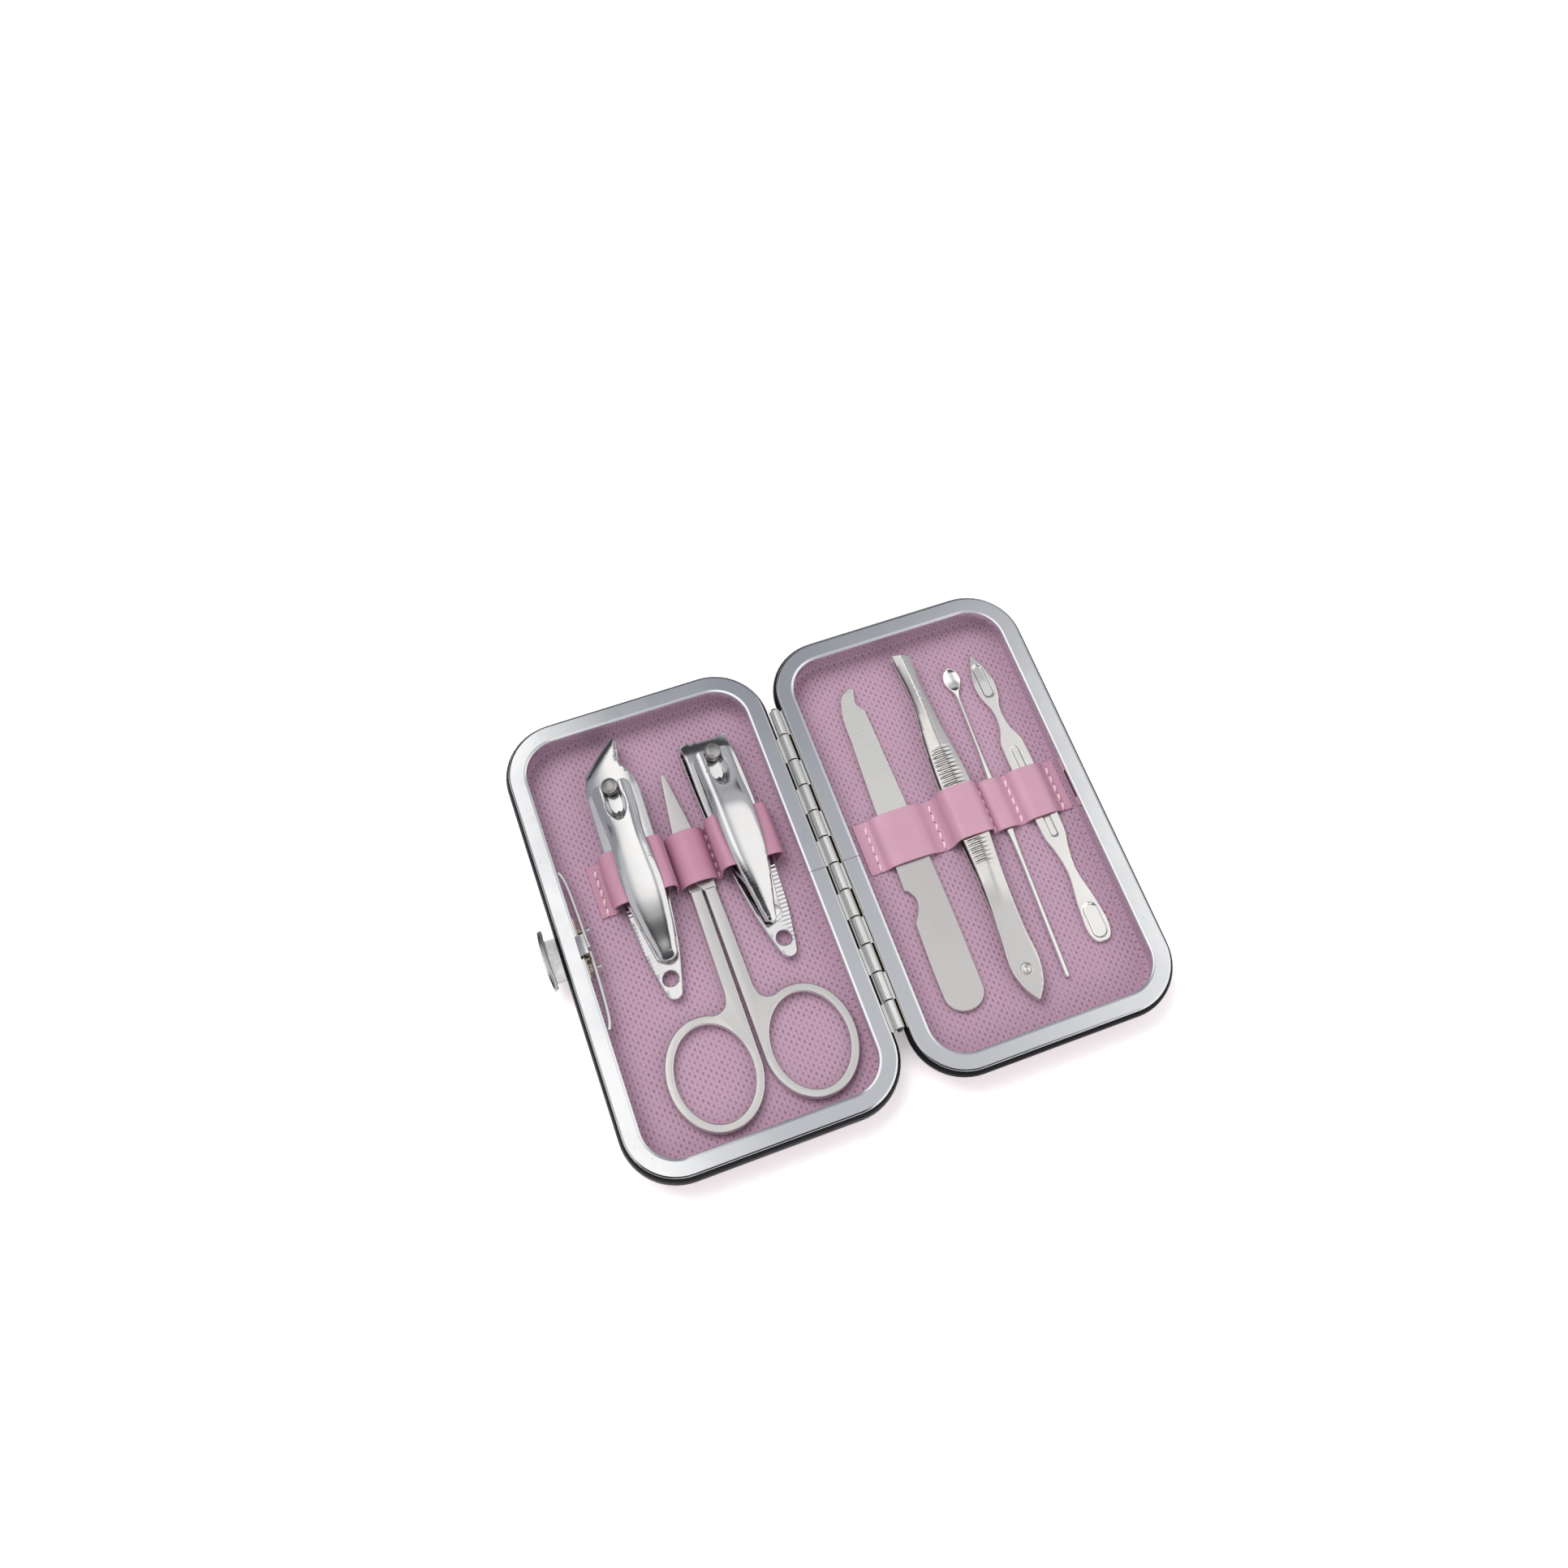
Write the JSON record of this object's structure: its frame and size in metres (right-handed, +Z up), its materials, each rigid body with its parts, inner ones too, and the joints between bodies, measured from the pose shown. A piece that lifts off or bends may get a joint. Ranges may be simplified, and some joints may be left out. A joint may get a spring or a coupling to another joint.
{
  "type": "manicure set case",
  "caption": "Open pink leather manicure case with chrome frame, spring catch, two clippers, scissors, file, tweezers, ear pick and cuticle pusher under loop straps.",
  "frame": {"origin": "on the table, in the middle of the open set's footprint, 2.05 mm from the hinge's axis on the base's side", "axes": "+X from the hinge towards the lid, -X towards the base and its catch, +Y along the hinge towards the jaws and tips of the tools, +Z up"},
  "size_m": [0.1352, 0.112, 0.0137],
  "materials": {
    "pink_leather": "soft satin, fine grain",
    "shell_plastic": "matt",
    "tray_board": "matt",
    "dotted_lining": "embossed, slight sheen",
    "black_rim": "high gloss",
    "polished_frame": "polished",
    "hinge_steel": "satin, slightly mottled",
    "latch_steel": "polished",
    "guide_brass": "satin",
    "strap_leather": "satin, fine grain",
    "tool_chrome": "polished",
    "tool_satin": "satin"
  },
  "bodies": {
    "base": {"base_shell": "shell_plastic", "base_cover": "pink_leather", "base_rim": "black_rim", "base_frame": "polished_frame", "base_lining_board": "tray_board", "base_lining": "dotted_lining", "base_strap": "strap_leather", "hinge_leaf_base": "hinge_steel", "hinge_pin": "hinge_steel", "latch_spring": "latch_steel", "latch_guide": "guide_brass"},
    "lid": {"lid_shell": "shell_plastic", "lid_cover": "pink_leather", "lid_rim": "black_rim", "lid_frame": "polished_frame", "lid_lining_board": "tray_board", "lid_lining": "dotted_lining", "lid_strap": "strap_leather", "hinge_leaf_lid": "hinge_steel"},
    "latch": {"latch_button": "latch_steel"},
    "side_clipper": {"side_clipper_lower_leaf": "tool_chrome", "side_clipper_pin": "tool_chrome", "side_clipper_rivet": "tool_chrome"},
    "side_clipper_jaw": {"side_clipper_upper_leaf": "tool_chrome"},
    "side_clipper_thumb": {"side_clipper_lever": "tool_chrome"},
    "nail_clipper": {"nail_clipper_lower_leaf": "tool_chrome", "nail_clipper_pin": "tool_chrome", "nail_clipper_rivet": "tool_chrome"},
    "nail_clipper_jaw": {"nail_clipper_upper_leaf": "tool_chrome"},
    "nail_clipper_thumb": {"nail_clipper_lever": "tool_chrome"},
    "scissors": {"scissors_right_half": "tool_satin", "scissors_pivot": "tool_satin"},
    "scissors_left": {"scissors_left_half": "tool_satin"},
    "file": {"nail_file": "tool_satin"},
    "tweezers": {"tweezers_lower_arm": "tool_chrome"},
    "tweezers_squeeze": {"tweezers_upper_arm": "tool_chrome"},
    "pick": {"ear_pick": "tool_chrome"},
    "pusher": {"cuticle_pusher": "tool_chrome"}
  },
  "joints": [
    {"name": "lid_hinge", "type": "hinge", "parent": "base", "child": "lid", "pos_m": [0.00205, 0, 0.01], "axis": [0, -1, 0], "range_deg": [0, 180]},
    {"name": "latch_press", "type": "slide", "parent": "base", "child": "latch", "axis": [-1, 0, 0], "range_m": [-0.0018, 0], "stiffness_N_per_m": 1200, "springref_m": 0.0006, "deforming": ["latch_spring"]},
    {"name": "side_clipper_draw", "type": "slide", "parent": "base", "child": "side_clipper", "axis": [0.0332, 0.9995, 0], "range_m": [-0.0035, 0]},
    {"name": "side_clipper_squeeze", "type": "hinge", "parent": "side_clipper", "child": "side_clipper_jaw", "pos_m": [-0.04155, -0.00287, 0.0056], "axis": [0.9897, -0.0328, 0.1392], "range_deg": [-1, 0], "stiffness_Nm_per_rad": 20, "springref_deg": 0.23},
    {"name": "side_clipper_lever_tilt", "type": "hinge", "parent": "side_clipper", "child": "side_clipper_thumb", "pos_m": [-0.04119, 0.03313, 0.01154], "axis": [0.9897, -0.0328, 0.1392], "range_deg": [-22, 0]},
    {"name": "nail_clipper_draw", "type": "slide", "parent": "base", "child": "nail_clipper", "axis": [-0.0506, 0.9987, 0], "range_m": [-0.0035, 0]},
    {"name": "nail_clipper_squeeze", "type": "hinge", "parent": "nail_clipper", "child": "nail_clipper_jaw", "pos_m": [-0.0148, -0.00244, 0.0056], "axis": [0.989, 0.0501, -0.1392], "range_deg": [-1, 0], "stiffness_Nm_per_rad": 20, "springref_deg": 0.23},
    {"name": "nail_clipper_lever_tilt", "type": "hinge", "parent": "nail_clipper", "child": "nail_clipper_thumb", "pos_m": [-0.01579, 0.03355, 0.01154], "axis": [0.989, 0.0501, -0.1392], "range_deg": [-22, 0]},
    {"name": "scissors_draw", "type": "slide", "parent": "base", "child": "scissors", "axis": [0, 1, 0], "range_m": [-0.002, 0]},
    {"name": "scissors_pivot_turn", "type": "hinge", "parent": "scissors", "child": "scissors_left", "pos_m": [-0.02815, 0.0145, 0.00465], "axis": [0, 0, 1], "range_deg": [-4, 0]},
    {"name": "file_draw", "type": "slide", "parent": "lid", "child": "file", "axis": [0, 1, 0], "range_m": [-0.0035, 0]},
    {"name": "tweezers_draw", "type": "slide", "parent": "lid", "child": "tweezers", "axis": [0, 1, 0], "range_m": [-0.0035, 0]},
    {"name": "tweezers_squeeze_arm", "type": "hinge", "parent": "tweezers", "child": "tweezers_squeeze", "pos_m": [0.03625, -0.031, 0.00585], "axis": [1, 0, 0], "range_deg": [-0.9, 0], "stiffness_Nm_per_rad": 2, "springref_deg": 0.17},
    {"name": "pick_draw", "type": "slide", "parent": "lid", "child": "pick", "axis": [0.0358, 0.9994, 0], "range_m": [-0.0035, 0]},
    {"name": "pusher_draw", "type": "slide", "parent": "lid", "child": "pusher", "axis": [-0.0087, 1, 0], "range_m": [-0.0035, 0]}
  ]
}
